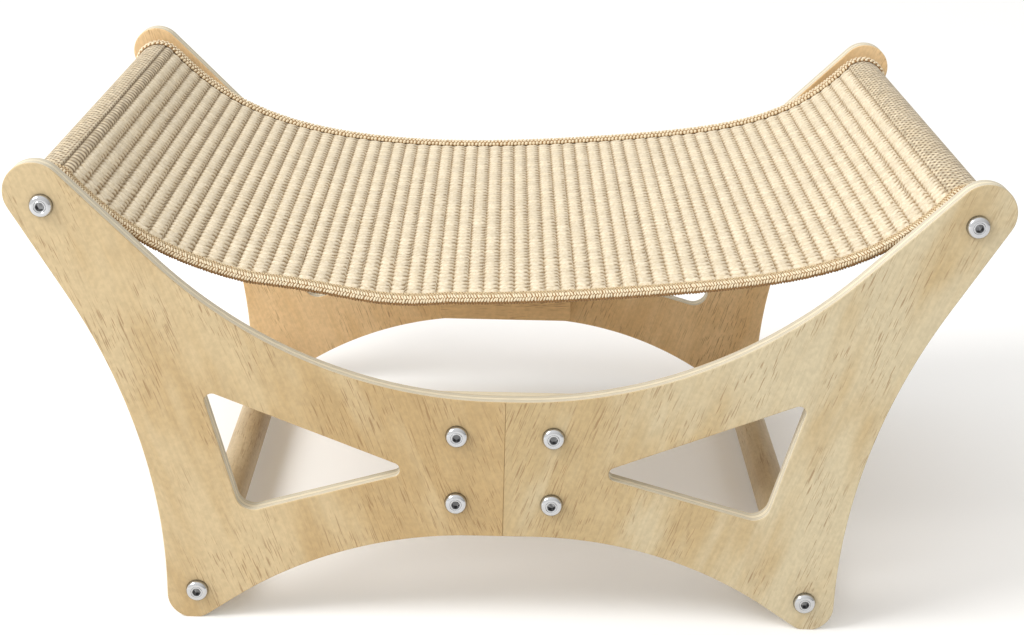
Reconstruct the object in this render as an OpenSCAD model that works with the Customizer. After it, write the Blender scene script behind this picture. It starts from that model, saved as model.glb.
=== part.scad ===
// Cat hammock: two plywood side frames, four round crossbars and a ribbed mat slung between the upper two.
// Lengths are in millimetres. The origin is on the floor, under the middle of the hammock.
// X runs from left to right, Y from front to rear and Z up.

/* [Side frames] */
// Width across the two upper tips
frame_width = 500; // [460:1:540]
// Height to the top of the upper tips
frame_height = 250; // [235:1:275]
// Clear distance between the two side frames
inner_depth = 320; // [240:1:420]
// Thickness of the plywood panels
ply_thickness = 10; // [8:0.5:15]
// Radius of the rounded upper tips
tip_radius = 15.5; // [14:0.5:18]
// Width across the outer sides of the feet
foot_span = 356; // [330:1:390]
// Radius of the rounded feet
foot_radius = 13.5; // [12:0.5:16]
// Width of the flat that each foot stands on
foot_flat = 7; // [4:0.5:10]
// Height where the outer edge of a leg stands upright
waist_height = 21; // [18:1:40]
// Straight run of the outer edge below a tip
leg_straight = 50; // [30:1:70]
// Height of the top edge at the seam
saddle_height = 128.6; // [120:0.2:138]
// Level run of the top edge on each side of the seam
saddle_flat = 5; // [2:1:20]
// Straight run of the top edge below a tip
saddle_straight = 65; // [40:1:85]
// Height of the arch under a frame
arch_height = 52; // [44:1:58]
// Level run of the arch on each side of the seam
arch_flat = 16; // [4:1:24]
// Straight run of the arch's edge beside a foot
arch_straight = 18; // [8:1:30]

/* [Windows] */
// Distance from the seam to a window's inner corner
window_inner_x = 46; // [40:1:60]
// Height of a window's inner corner
window_inner_z = 88.5; // [84:0.5:94]
// Distance from the seam to a window's upper corner
window_upper_x = 156.5; // [145:0.5:160]
// Height of a window's upper corner
window_upper_z = 132.5; // [125:0.5:136]
// Distance from the seam to a window's lower corner
window_lower_x = 137.5; // [130:0.5:142]
// Height of a window's lower corner
window_lower_z = 62; // [58:0.5:72]
// Rounding of a window's inner and upper corners
window_round = 4; // [2:0.5:6]
// Rounding of a window's lower corner
window_lower_round = 9; // [4:0.5:11]

/* [Crossbars] */
// Diameter of the round crossbars
rod_diameter = 20; // [16:0.5:22]
// How far an upper crossbar's axis lies inwards of its tip's centre
top_rod_in = 3.5; // [0:0.5:8]
// How far an upper crossbar's axis lies below its tip's centre
top_rod_down = 6; // [3:0.5:10]
// How far a lower crossbar's axis lies inwards of its foot's centre
bottom_rod_in = 2.5; // [0:0.5:6]
// How far a lower crossbar's axis lies above its foot's centre
bottom_rod_up = 3.5; // [2:0.5:8]

/* [Splice plates] */
// Width of a splice plate
plate_width = 90; // [76:1:100]
// Thickness of a splice plate
plate_thickness = 10; // [8:0.5:15]
// How far a splice plate's top lies below the top edge at the seam
plate_drop = 2.4; // [1:0.2:6]
// How far a splice plate's bottom lies above the arch at the seam
plate_lift = 2.2; // [1:0.2:6]
// Rounding of a splice plate's corners
plate_round = 4; // [2:0.5:8]
// Distance between the splice bolts across the seam
splice_span = 50; // [40:1:60]
// Distance from a splice plate's top and bottom to the bolts
splice_margin = 17; // [12:0.5:22]

/* [Bolts and inserts] */
// Diameter of the bolts
bolt_diameter = 6; // [5:0.5:8]
// Diameter of a bolt's button head
head_diameter = 12; // [10.5:0.5:14]
// Height of a bolt's button head
head_height = 3.3; // [2.6:0.1:4]
// Diameter of the flat on top of a bolt's head
head_flat = 7.5; // [5.5:0.1:8.5]
// Width across the flats of a bolt's hexagon socket
socket_width = 4; // [3:0.5:4.5]
// Depth of a bolt's hexagon socket
socket_depth = 2; // [1:0.1:2.4]
// Outer diameter of the threaded inserts
insert_diameter = 10; // [9:0.5:12]
// Length of the threaded inserts in the crossbars
insert_length = 15; // [10:1:25]

/* [Mat] */
// Thickness of the mat at the crest of its ribs
mat_thickness = 4.5; // [3:0.5:6]
// Depth of the furrows between the ribs
rib_depth = 1.4; // [0.6:0.1:2]
// Distance from rib to rib
rib_pitch = 8; // [5:0.5:12]
// Height of the mat's middle line at its middle
mat_low = 178.8; // [165:0.2:200]
// How far the right half hangs above an even sag, and the left half below it
mat_lean = 3; // [0:0.5:6]
// Slope of the mat where it leaves a crossbar, in degrees
leave_angle = 48; // [30:1:52]
// Clear distance from the mat's edge to a side frame
mat_edge_gap = 8; // [3:0.5:15]
// Thickness of the sleeves round the upper crossbars
sleeve_thickness = 3.5; // [2:0.5:4]
// Distance from where the mat leaves a crossbar to where the sleeve's lower side is sewn to it
pocket_length = 22; // [18:1:30]
// Width of the bindings over the mat's front and rear edges
binding_width = 6; // [4:0.5:10]
// Thickness of the bindings
binding_thickness = 0.8; // [0.5:0.1:1.5]

/* [Hidden] */
// Play of a bolt in the panel that it turns in, all round
bolt_play = 0.08;
// Play of a bolt in its insert and of an insert in its seat, all round
insert_play = 0.05;
// Play under the bolt heads and at the crossbars' ends
seat_play = 0.05;
// Slack of the mat and its sleeves on the crossbars
sleeve_slack = 0.3;
// Gap between pieces that are sewn together
sewn_gap = 0.1;
// Overrun of every cut
overrun = 1;
// Depth of the thread on the outside of an insert, and its pitch
insert_thread = 0.6;
insert_thread_pitch = 2.5;
// Rib heights along one pitch, as shares of the furrow's depth, and the places where they are measured
rib_height_shares = [0, 0.78, 1, 0.78];
rib_place_shares = [0, 0.2, 0.5, 0.8];
// Greatest value of the lean's own curve
lean_peak_share = 0.2862;
// Power of the term that steepens the mat towards its ends
steep_power = 6;
// Steps along the mat for measuring its length
length_steps = 240;
// Share of the mat's half width over which a sleeve is fitted to its underside, and the steps along it
fitted_share = 0.3;
fitted_steps = 12;
// Turn by which a binding's cover on a sleeve runs on under its cover on the mat, in degrees
binding_lap = 6;

// Turn from facet to facet on the frame's wide curves and on its small rounds, in degrees
wide_facet = 1;
round_facet = 5;
// Facets of true cylinders and of the bolt heads' domes
$fn = 64;
dome_facets = 180;

frame_half = inner_depth / 2;
tip = [frame_width / 2 - tip_radius, frame_height - tip_radius];
foot = [foot_span / 2 - foot_radius, sqrt(pow(foot_radius, 2) - pow(foot_flat / 2, 2))];
top_axis = tip - [top_rod_in, top_rod_down];
bottom_axis = foot + [-bottom_rod_in, bottom_rod_up];
plate_height = saddle_height - plate_drop - arch_height - plate_lift;
plate_middle = arch_height + plate_lift + plate_height / 2;
splice_rise = plate_height - 2 * splice_margin;
rod_radius = rod_diameter / 2;

// Radius of a curve that ends in a straight run, which touches a round further out
function bend_radius(across, along, round_radius, straight) =
    (pow(across, 2) + pow(along, 2) - pow(round_radius, 2) - pow(straight, 2))
        / (2 * (across + round_radius));

// Direction from a curve's centre to the start of the straight run
function bend_angle(centre, radius, round_centre, round_radius, turn) =
    let (away = round_centre - centre)
    heading(away) + turn * acos((radius + round_radius) / norm(away));

function ray(angle, length) = length * [cos(angle), sin(angle)];
function unit(line) = line / norm(line);
function heading(line) = atan2(line.y, line.x);

// Points along an arc, close enough together for the facet angle
function arc(centre, radius, from, to, facet) =
    let (steps = ceil(abs(to - from) / facet))
    [for (step = [0 : steps]) centre + ray(from + (to - from) * step / steps, radius)];

leg_radius = bend_radius(tip.x - foot_span / 2, tip.y - waist_height, tip_radius, leg_straight);
leg_centre = [foot_span / 2 + leg_radius, waist_height];
leg_angle = bend_angle(leg_centre, leg_radius, tip, tip_radius, 1);

saddle_radius = bend_radius(tip.y - saddle_height, tip.x - saddle_flat, tip_radius, saddle_straight);
saddle_centre = [saddle_flat, saddle_height + saddle_radius];
saddle_angle = bend_angle(saddle_centre, saddle_radius, tip, tip_radius, -1);

arch_radius = bend_radius(arch_height - foot.y, foot.x - arch_flat, foot_radius, arch_straight);
arch_centre = [arch_flat, arch_height - arch_radius];
arch_angle = bend_angle(arch_centre, arch_radius, foot, foot_radius, 1);

// The mat's middle line, which touches a circle round each upper crossbar at share -1 and share 1
sleeve_inner = rod_radius + sleeve_slack;
sleeve_outer = sleeve_inner + sleeve_thickness;
mat_seat = sleeve_inner + mat_thickness / 2;
mat_end = top_axis + ray(90 + leave_angle, mat_seat);
mat_half = mat_end.x;
mat_rise = mat_end.y - mat_low;
end_rise = mat_half * tan(leave_angle);
steep_rise = (end_rise - 2 * mat_rise) / (steep_power - 2);
even_rise = mat_rise - steep_rise;
lean_rise = mat_lean / lean_peak_share;

function mat_point(share) = [
    mat_half * share,
    mat_low + even_rise * pow(share, 2) + steep_rise * pow(share, steep_power)
        + lean_rise * share * pow(1 - pow(share, 2), 2)
];
function mat_slope(share) =
    (2 * even_rise * share + steep_power * steep_rise * pow(share, steep_power - 1)
        + lean_rise * (1 - pow(share, 2)) * (1 - 5 * pow(share, 2))) / mat_half;
function mat_side(share, offset) = mat_point(share) + offset * unit([-mat_slope(share), 1]);
function step_share(step) = 2 * step / length_steps - 1;
function step_length(step) = norm(mat_point(step_share(step + 1)) - mat_point(step_share(step)));

// Length along the middle line, paired with the share that it reaches
mat_run = [
    for (step = 0, run = 0; step <= length_steps; run = run + step_length(step), step = step + 1)
        [run, step_share(step)]
];
mat_length = mat_run[length_steps][0];
rib_count = round(mat_length / rib_pitch);
function rib_share(rib) = lookup(mat_length * rib / rib_count, mat_run);

mat_y = frame_half - mat_edge_gap;
pocket_turn = 2 * atan(pocket_length / sleeve_inner);
seam_angle = 90 + leave_angle;
tail_angle = seam_angle + pocket_turn;
sewn_turn = asin(sewn_gap / sleeve_inner);

// A flat drawing of X and Z, made solid from one Y to another
module slab(low, high) {
    translate([0, high, 0]) rotate([90, 0, 0]) linear_extrude(height = high - low) children();
}

// A right-hand piece, or its mirror image on the left
module on_side(side) {
    if (side == "left") mirror([1, 0, 0]) children();
    else children();
}

// A piece of the front frame, or its mirror image at the rear
module on_frame(frame) {
    if (frame == "rear") mirror([0, 1, 0]) children();
    else children();
}

// A convex outline, drawn anticlockwise, with a rounding at each corner
module rounded_outline(corners, rounds) {
    count = len(corners);
    polygon([
        for (i = [0 : count - 1])
            let (
                arrive = unit(corners[i] - corners[(i + count - 1) % count]),
                leave = unit(corners[(i + 1) % count] - corners[i]),
                turn = acos(arrive * leave),
                centre = corners[i] + unit(leave - arrive) * rounds[i] / cos(turn / 2)
            )
            each arc(centre, rounds[i], heading(arrive) - 90, heading(arrive) - 90 + turn, round_facet)
    ]);
}

module window_outline() {
    inner = [window_inner_x, window_inner_z];
    lower = [window_lower_x, window_lower_z];
    upper = [window_upper_x, window_upper_z];
    rounded_outline([inner, lower, upper], [window_round, window_lower_round, window_round]);
}

// The right half of a side frame, anticlockwise from the arch over the foot and the tip to the saddle
module panel_outline() {
    flat_turn = asin(foot_flat / (2 * foot_radius));
    difference() {
        polygon(concat(
            [[0, arch_height]],
            arc(arch_centre, arch_radius, 90, arch_angle, wide_facet),
            arc(foot, foot_radius, 180 + arch_angle, 270 - flat_turn, round_facet),
            arc(foot, foot_radius, 270 + flat_turn, 360, round_facet),
            arc(leg_centre, leg_radius, 180, leg_angle, wide_facet),
            arc(tip, tip_radius, leg_angle - 180, saddle_angle + 180, round_facet),
            arc(saddle_centre, saddle_radius, saddle_angle, -90, wide_facet),
            [[0, saddle_height]]
        ));
        window_outline();
        for (axis = [top_axis, bottom_axis]) translate(axis) circle(bolt_diameter / 2 + bolt_play);
        for (rise = [-1, 1]) translate(splice_place(1, rise)) circle(bolt_diameter / 2 + bolt_play);
    }
}

function splice_place(across, rise) = [across * splice_span / 2, plate_middle + rise * splice_rise / 2];

module half_panel(frame, side) {
    color("burlywood") on_frame(frame) on_side(side)
        slab(-frame_half - ply_thickness, -frame_half) panel_outline();
}

module splice_plate(frame) {
    low = plate_middle - plate_height / 2;
    high = plate_middle + plate_height / 2;
    half = plate_width / 2;
    corners = [[-half, low], [half, low], [half, high], [-half, high]];
    color("tan") on_frame(frame) slab(-frame_half, plate_thickness - frame_half) difference() {
        rounded_outline(corners, [for (corner = corners) plate_round]);
        for (across = [-1, 1]) for (rise = [-1, 1])
            translate(splice_place(across, rise)) circle(insert_diameter / 2 + insert_play);
    }
}

// A bolt along +Z, with its head's seat at zero
module bolt(length) {
    head_radius = head_diameter / 2;
    drop = (pow(head_radius, 2) - pow(head_flat / 2, 2) - pow(head_height, 2)) / (2 * head_height);
    difference() {
        intersection() {
            translate([0, 0, -head_height]) cylinder(r = head_radius, h = head_height);
            translate([0, 0, drop]) sphere(norm([head_radius, drop]), $fn = dome_facets);
        }
        translate([0, 0, -head_height - overrun])
            cylinder(d = socket_width / cos(30), h = socket_depth + overrun, $fn = 6);
    }
    cylinder(d = bolt_diameter, h = length);
}

// A threaded insert along +Z, with its outer face at zero
module insert(length) {
    turns = floor(length / insert_thread_pitch);
    pitch = length / turns;
    bore = bolt_diameter / 2 + insert_play;
    crest = insert_diameter / 2;
    root = crest - insert_thread;
    ridge = [[root, 0], [crest, pitch / 4], [crest, 3 * pitch / 4]];
    rotate_extrude() polygon(concat(
        [[bore, length], [bore, 0]],
        [for (turn = [0 : turns - 1]) for (corner = ridge) corner + [0, turn * pitch]],
        [[root, length]]
    ));
}

// A piece along +Z, set at a place in a frame so that it points to the middle of the hammock
module into_frame(frame, place, depth) {
    on_frame(frame) translate([place.x, depth, place.y]) rotate([-90, 0, 0]) children();
}

module splice_bolts(frame) {
    color("silver") for (across = [-1, 1]) for (rise = [-1, 1])
        into_frame(frame, splice_place(across, rise), -frame_half - ply_thickness - seat_play)
            bolt(ply_thickness + plate_thickness);
}

module splice_inserts(frame) {
    color("goldenrod") for (across = [-1, 1]) for (rise = [-1, 1])
        into_frame(frame, splice_place(across, rise), -frame_half) insert(plate_thickness);
}

module rod(side, axis) {
    length = inner_depth - 2 * seat_play;
    bore = insert_length + bolt_diameter / 2;
    color("wheat") on_side(side) translate([axis.x, length / 2, axis.y]) rotate([90, 0, 0]) difference() {
        cylinder(r = rod_radius, h = length);
        for (base = [-overrun, length - bore])
            translate([0, 0, base]) cylinder(d = insert_diameter + 2 * insert_play, h = bore + overrun);
    }
}

module rod_bolts(side, axis) {
    color("silver") on_side(side) for (frame = ["front", "rear"])
        into_frame(frame, axis, -frame_half - ply_thickness - seat_play) bolt(ply_thickness + insert_length);
}

module rod_inserts(side, axis) {
    color("goldenrod") on_side(side) for (frame = ["front", "rear"])
        into_frame(frame, axis, -frame_half + seat_play) insert(insert_length);
}

// A band along the mat's middle line, from one offset to another
module mat_band(low, high) {
    polygon(concat(
        [for (rib = [0 : rib_count]) mat_side(rib_share(rib), low)],
        [for (rib = [rib_count : -1 : 0]) mat_side(rib_share(rib), high)]
    ));
}

module mat() {
    reach = mat_y - binding_thickness - sewn_gap;
    crest = mat_thickness / 2;
    ribs = [
        for (rib = [0 : rib_count - 1]) for (i = [0 : len(rib_place_shares) - 1])
            mat_side(rib_share(rib + rib_place_shares[i]), crest - rib_depth * (1 - rib_height_shares[i]))
    ];
    color("blanchedalmond") slab(-reach, reach) polygon(concat(
        [for (rib = [rib_count : -1 : 0]) mat_side(rib_share(rib), -crest)],
        ribs,
        [mat_side(1, crest - rib_depth)]
    ));
}

// A point on the mat's right half, or on its left half seen in a mirror
function end_side(side, share, offset) =
    let (turn = side == "left" ? -1 : 1, place = mat_side(turn * share, offset))
    [turn * place.x, place.y];

// What lies above an offset under the mat's right end, over the stretch where a sleeve is fitted
module over_underside(side, under) {
    far = 2 * sleeve_outer;
    fitted_shares = [for (step = [1 : fitted_steps]) 1 - fitted_share * step / fitted_steps];
    polygon(concat(
        [for (share = fitted_shares) end_side(side, share, -under)],
        [for (i = [fitted_steps - 1, 0]) end_side(side, fitted_shares[i], far)]
    ));
}

// The section of a sleeve on the right, from its seam over the crossbar and back to the mat's underside
module sleeve_outline(side, inner, outer, lap, under) {
    tail = ray(tail_angle - 90, pocket_length + 3 * sleeve_thickness);
    difference() {
        translate(top_axis) polygon(concat(
            arc([0, 0], outer, tail_angle - 360, seam_angle + lap, round_facet),
            arc([0, 0], inner, seam_angle + lap, tail_angle - 360, round_facet),
            [ray(tail_angle, inner) + tail, ray(tail_angle, outer) + tail]
        ));
        over_underside(side, under);
    }
}

// A sleeve, with room for the bindings' lower sides at its two ends
module sleeve(side) {
    reach = mat_y - binding_thickness - sewn_gap;
    fitted = mat_thickness / 2 + sewn_gap;
    color("beige") on_side(side) difference() {
        slab(-reach, reach) sleeve_outline(side, sleeve_inner, sleeve_outer, -sewn_turn, fitted);
        for (frame = ["front", "rear"]) on_frame(frame)
            slab(-mat_y, binding_width + sewn_gap - mat_y)
                over_underside(side, fitted + binding_thickness + sewn_gap);
    }
}

// The binding's cover over the front end of a sleeve
module sleeve_binding(side, low, high, under) {
    cover = sleeve_outer + sewn_gap + binding_thickness;
    on_side(side) {
        slab(low, high) sleeve_outline(side, sleeve_outer + sewn_gap, cover, binding_lap, under);
        slab(low, low + binding_thickness) sleeve_outline(side, sleeve_inner, cover, binding_lap, under);
    }
}

module binding(frame) {
    low = -mat_y;
    high = binding_width - mat_y;
    slot = mat_thickness / 2 + sewn_gap;
    cover = slot + binding_thickness;
    color("tan") on_frame(frame) difference() {
        union() {
            slab(low, high) mat_band(-cover, cover);
            for (side = ["left", "right"]) sleeve_binding(side, low, high, slot + binding_thickness / 2);
        }
        slab(low + binding_thickness, high + overrun) mat_band(-slot, slot);
        for (side = ["left", "right"]) on_side(side)
            slab(low - overrun, high + overrun) translate(top_axis) circle(sleeve_inner - sewn_gap / 2);
    }
}

half_panel("front", "left");  // front_left_panel
half_panel("front", "right");  // front_right_panel
half_panel("rear", "left");  // rear_left_panel
half_panel("rear", "right");  // rear_right_panel
splice_plate("front");  // front_splice_plate
splice_plate("rear");  // rear_splice_plate
splice_bolts("front");  // front_splice_bolts
splice_bolts("rear");  // rear_splice_bolts
splice_inserts("front");  // front_splice_inserts
splice_inserts("rear");  // rear_splice_inserts
rod("left", top_axis);  // left_top_rod
rod_bolts("left", top_axis);  // left_top_rod_bolts
rod_inserts("left", top_axis);  // left_top_rod_inserts
rod("right", top_axis);  // right_top_rod
rod_bolts("right", top_axis);  // right_top_rod_bolts
rod_inserts("right", top_axis);  // right_top_rod_inserts
rod("left", bottom_axis);  // left_bottom_rod
rod_bolts("left", bottom_axis);  // left_bottom_rod_bolts
rod_inserts("left", bottom_axis);  // left_bottom_rod_inserts
rod("right", bottom_axis);  // right_bottom_rod
rod_bolts("right", bottom_axis);  // right_bottom_rod_bolts
rod_inserts("right", bottom_axis);  // right_bottom_rod_inserts
mat();
sleeve("left");  // left_sleeve
sleeve("right");  // right_sleeve
binding("front");  // front_binding
binding("rear");  // rear_binding
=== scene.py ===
"""Looks of the cat hammock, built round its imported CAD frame.

Lengths are in metres, angles in degrees and noise scales in waves to each unit of the place given.
"""

import math

import bpy
import numpy as np
from mathutils import Matrix, Vector
from mathutils.geometry import tessellate_polygon


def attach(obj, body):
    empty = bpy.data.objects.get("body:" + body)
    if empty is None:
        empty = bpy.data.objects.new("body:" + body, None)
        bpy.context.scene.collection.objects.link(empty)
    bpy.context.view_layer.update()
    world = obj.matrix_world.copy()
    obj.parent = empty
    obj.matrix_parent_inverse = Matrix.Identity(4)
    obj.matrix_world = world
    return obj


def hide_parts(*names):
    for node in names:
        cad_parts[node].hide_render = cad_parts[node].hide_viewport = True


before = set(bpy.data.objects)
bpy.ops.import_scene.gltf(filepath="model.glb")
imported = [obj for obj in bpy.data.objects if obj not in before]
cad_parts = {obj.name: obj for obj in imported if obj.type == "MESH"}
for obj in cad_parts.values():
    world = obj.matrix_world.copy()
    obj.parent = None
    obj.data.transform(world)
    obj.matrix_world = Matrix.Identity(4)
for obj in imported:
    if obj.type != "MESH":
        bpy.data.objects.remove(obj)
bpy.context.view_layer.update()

# Side frames, as in the CAD source
FRAME_WIDTH = 0.500
FRAME_HEIGHT = 0.250
FRAME_HALF = 0.160
PLY = 0.010
TIP_RADIUS = 0.0155
FOOT_SPAN = 0.356
FOOT_RADIUS = 0.0135
FOOT_FLAT = 0.007
WAIST_HEIGHT = 0.021
LEG_STRAIGHT = 0.050
SADDLE_HEIGHT = 0.1286
SADDLE_FLAT = 0.005
SADDLE_STRAIGHT = 0.065
ARCH_HEIGHT = 0.052
ARCH_FLAT = 0.016
ARCH_STRAIGHT = 0.018
WINDOW_INNER = np.array([0.046, 0.0885])
WINDOW_LOWER = np.array([0.1375, 0.062])
WINDOW_UPPER = np.array([0.1565, 0.1325])
WINDOW_ROUND = 0.004
WINDOW_LOWER_ROUND = 0.009
BOLT_HOLE = 0.00308
PLATE_WIDTH = 0.090
PLATE_DROP = 0.0024
PLATE_LIFT = 0.0022
PLATE_ROUND = 0.004
PLATE_LOW = ARCH_HEIGHT + PLATE_LIFT
PLATE_HIGH = SADDLE_HEIGHT - PLATE_DROP
SPLICE_SPAN = 0.050
SPLICE_MARGIN = 0.017
TOP_AXIS = np.array([0.231, 0.2285])
BOTTOM_AXIS = np.array([0.162, 0.016538])

# Mat and sleeves, as in the CAD source
MAT_THICKNESS = 0.0045
MAT_LOW = 0.1788
MAT_LEAN = 0.003
LEAN_PEAK_SHARE = 0.2862
LEAVE_ANGLE = 48
STEEP_POWER = 6
MAT_EDGE = 0.152
RIB_PITCH = 0.008
SLEEVE_INNER = 0.0103
SLEEVE_THICKNESS = 0.0035
POCKET_LENGTH = 0.022

# Facets of the frames' curves
WIDE_FACET = 1
ROUND_FACET = 5
HOLE_FACET = 15
EDGE_ROUND = 0.00055
EDGE_STEPS = 3
SAME_POINT = EDGE_ROUND / 10
SHARPEST_SHARE = 0.3
SHARP_ANGLE = 35


def ray(angle, length):
    turn = np.radians(angle)
    return length * np.array([np.cos(turn), np.sin(turn)])


def unit(line):
    """Lines of length one, in the directions of the given ones."""
    return line / np.linalg.norm(line, axis=-1, keepdims=True)


def heading(line):
    return math.degrees(math.atan2(line[1], line[0]))


def arc(centre, radius, start, end, facet):
    steps = max(1, math.ceil(abs(end - start) / facet))
    return [centre + ray(start + (end - start) * step / steps, radius) for step in range(steps + 1)]


def bend(across, along, round_radius, straight):
    """Radius of a curve that ends in a straight run, which touches a round further out."""
    reach = across**2 + along**2 - round_radius**2 - straight**2
    return reach / (2 * (across + round_radius))


def bend_angle(centre, radius, round_centre, round_radius, turn):
    """Direction from a curve's centre to the start of the straight run."""
    away = round_centre - centre
    swing = math.degrees(math.acos((radius + round_radius) / np.linalg.norm(away)))
    return heading(away) + turn * swing


def rounded(corners, rounds):
    """A convex outline, anticlockwise, with a rounding at each corner."""
    points = []
    for i, corner in enumerate(corners):
        arrive = unit(corner - corners[i - 1])
        leave = unit(corners[(i + 1) % len(corners)] - corner)
        turn = math.degrees(math.acos(float(arrive @ leave)))
        centre = corner + unit(leave - arrive) * rounds[i] / math.cos(math.radians(turn / 2))
        start = heading(arrive) - 90
        points += arc(centre, rounds[i], start, start + turn, ROUND_FACET)
    return points


def panel_outline():
    """The right half of a side frame, anticlockwise."""
    tip = np.array([FRAME_WIDTH / 2 - TIP_RADIUS, FRAME_HEIGHT - TIP_RADIUS])
    foot = np.array([FOOT_SPAN / 2 - FOOT_RADIUS, math.sqrt(FOOT_RADIUS**2 - (FOOT_FLAT / 2) ** 2)])
    leg = bend(tip[0] - FOOT_SPAN / 2, tip[1] - WAIST_HEIGHT, TIP_RADIUS, LEG_STRAIGHT)
    leg_centre = np.array([FOOT_SPAN / 2 + leg, WAIST_HEIGHT])
    leg_angle = bend_angle(leg_centre, leg, tip, TIP_RADIUS, 1)
    saddle = bend(tip[1] - SADDLE_HEIGHT, tip[0] - SADDLE_FLAT, TIP_RADIUS, SADDLE_STRAIGHT)
    saddle_centre = np.array([SADDLE_FLAT, SADDLE_HEIGHT + saddle])
    saddle_angle = bend_angle(saddle_centre, saddle, tip, TIP_RADIUS, -1)
    arch = bend(ARCH_HEIGHT - foot[1], foot[0] - ARCH_FLAT, FOOT_RADIUS, ARCH_STRAIGHT)
    arch_centre = np.array([ARCH_FLAT, ARCH_HEIGHT - arch])
    arch_angle = bend_angle(arch_centre, arch, foot, FOOT_RADIUS, 1)
    flat_turn = math.degrees(math.asin(FOOT_FLAT / (2 * FOOT_RADIUS)))
    return (
        [np.array([0, ARCH_HEIGHT])]
        + arc(arch_centre, arch, 90, arch_angle, WIDE_FACET)
        + arc(foot, FOOT_RADIUS, 180 + arch_angle, 270 - flat_turn, ROUND_FACET)
        + arc(foot, FOOT_RADIUS, 270 + flat_turn, 360, ROUND_FACET)
        + arc(leg_centre, leg, 180, leg_angle, WIDE_FACET)
        + arc(tip, TIP_RADIUS, leg_angle - 180, saddle_angle + 180, ROUND_FACET)
        + arc(saddle_centre, saddle, saddle_angle, -90, WIDE_FACET)
        + [np.array([0, SADDLE_HEIGHT])]
    )


def splice_places():
    """Axes of the two bolts through the right half of a splice plate."""
    return [np.array([SPLICE_SPAN / 2, z]) for z in (PLATE_LOW + SPLICE_MARGIN, PLATE_HIGH - SPLICE_MARGIN)]


def hole(centre):
    """A bolt hole's outline, clockwise."""
    return arc(centre, BOLT_HOLE, 360, 0, HOLE_FACET)[:-1]


def panel_loops():
    window = rounded(
        [WINDOW_INNER, WINDOW_LOWER, WINDOW_UPPER],
        [WINDOW_ROUND, WINDOW_LOWER_ROUND, WINDOW_ROUND],
    )
    holes = [hole(place) for place in [TOP_AXIS, BOTTOM_AXIS] + splice_places()]
    return [panel_outline(), window[::-1]] + holes


def plate_loops():
    half = PLATE_WIDTH / 2
    corners = np.array([(-half, PLATE_LOW), (half, PLATE_LOW), (half, PLATE_HIGH), (-half, PLATE_HIGH)])
    holes = [hole(place * [side, 1]) for place in splice_places() for side in (-1, 1)]
    return [rounded(corners, [PLATE_ROUND] * len(corners))] + holes


def clean_loop(points):
    """The points of a closed outline as an array, without repeats."""
    loop = np.array(points)
    return loop[np.linalg.norm(loop - np.roll(loop, 1, axis=0), axis=1) > SAME_POINT]


def inset(loop, depth):
    """An outline moved to its left by a depth, which is into the wood. Holes run clockwise for this."""
    before = unit(loop - np.roll(loop, 1, axis=0))
    after = unit(np.roll(loop, -1, axis=0) - loop)
    normal = unit((before + after)[:, ::-1] * [-1, 1])
    across = normal[:, 1] * after[:, 0] - normal[:, 0] * after[:, 1]
    return loop + normal * depth / np.maximum(across, SHARPEST_SHARE)[:, None]


def stacked(*values):
    """A grid of points from their coordinates, each given for the grid, a row or a column."""
    return np.stack(np.broadcast_arrays(*values), axis=-1)


def numbered(points, start=0):
    """The number of each point in a grid."""
    return start + np.arange(points[..., 0].size).reshape(points.shape[:-1])


def runs_along(points):
    """Length along a line at each of its points."""
    return np.append(0, np.cumsum(np.linalg.norm(np.diff(points, axis=0), axis=1)))


def sampled(place, runs, points):
    """A line's points at a place or places along it, from the runs of its own points."""
    return np.stack([np.interp(place, runs, values) for values in points.T], axis=-1)


def grid_faces(index):
    a, b, c, d = index[:-1, :-1], index[1:, :-1], index[1:, 1:], index[:-1, 1:]
    return np.stack([a, b, c, d], axis=-1).reshape(-1, 4).tolist()


def ring_faces(start, count, rings):
    """Faces between neighbouring rings of points, from the first point's number and each ring's count."""
    faces = []
    for base in range(start, start + (rings - 1) * count, count):
        for i in range(count):
            j = (i + 1) % count
            faces.append((base + i, base + j, base + count + j, base + count + i))
    return faces


def flipped(faces):
    return [face[::-1] for face in faces]


def shell_faces(index, way):
    """Faces of a thick sheet, flipped for a way under zero.

    Each row of points goes over one side of its section and back along the other.
    """
    faces = grid_faces(np.concatenate([index, index[:, :1]], axis=1))
    last = index.shape[1] - 1
    for i in range(last // 2):
        j = last - i
        faces.append(index[0, [i, i + 1, j - 1, j]])
        faces.append(index[-1, [j, j - 1, i + 1, i]])
    return faces if way > 0 else flipped(faces)


def add_object(name, data):
    made = bpy.data.objects.new(name, data)
    bpy.context.scene.collection.objects.link(made)
    return made


def new_piece(name, points, faces, materials):
    """A smooth mesh piece in the CAD frame, from a list or grid of points, with its materials."""
    mesh = bpy.data.meshes.new(name)
    corners = np.reshape(points, (-1, 3)).tolist()
    mesh.from_pydata(corners, [], [list(map(int, face)) for face in faces])
    mesh.polygons.foreach_set("use_smooth", [True] * len(mesh.polygons))
    for material in materials:
        mesh.materials.append(material)
    return add_object(name, mesh)


def set_attribute(piece, name, values):
    made = piece.data.attributes.new(name, "FLOAT_VECTOR", "POINT")
    made.data.foreach_set("vector", np.asarray(values, np.float32).ravel())


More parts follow.
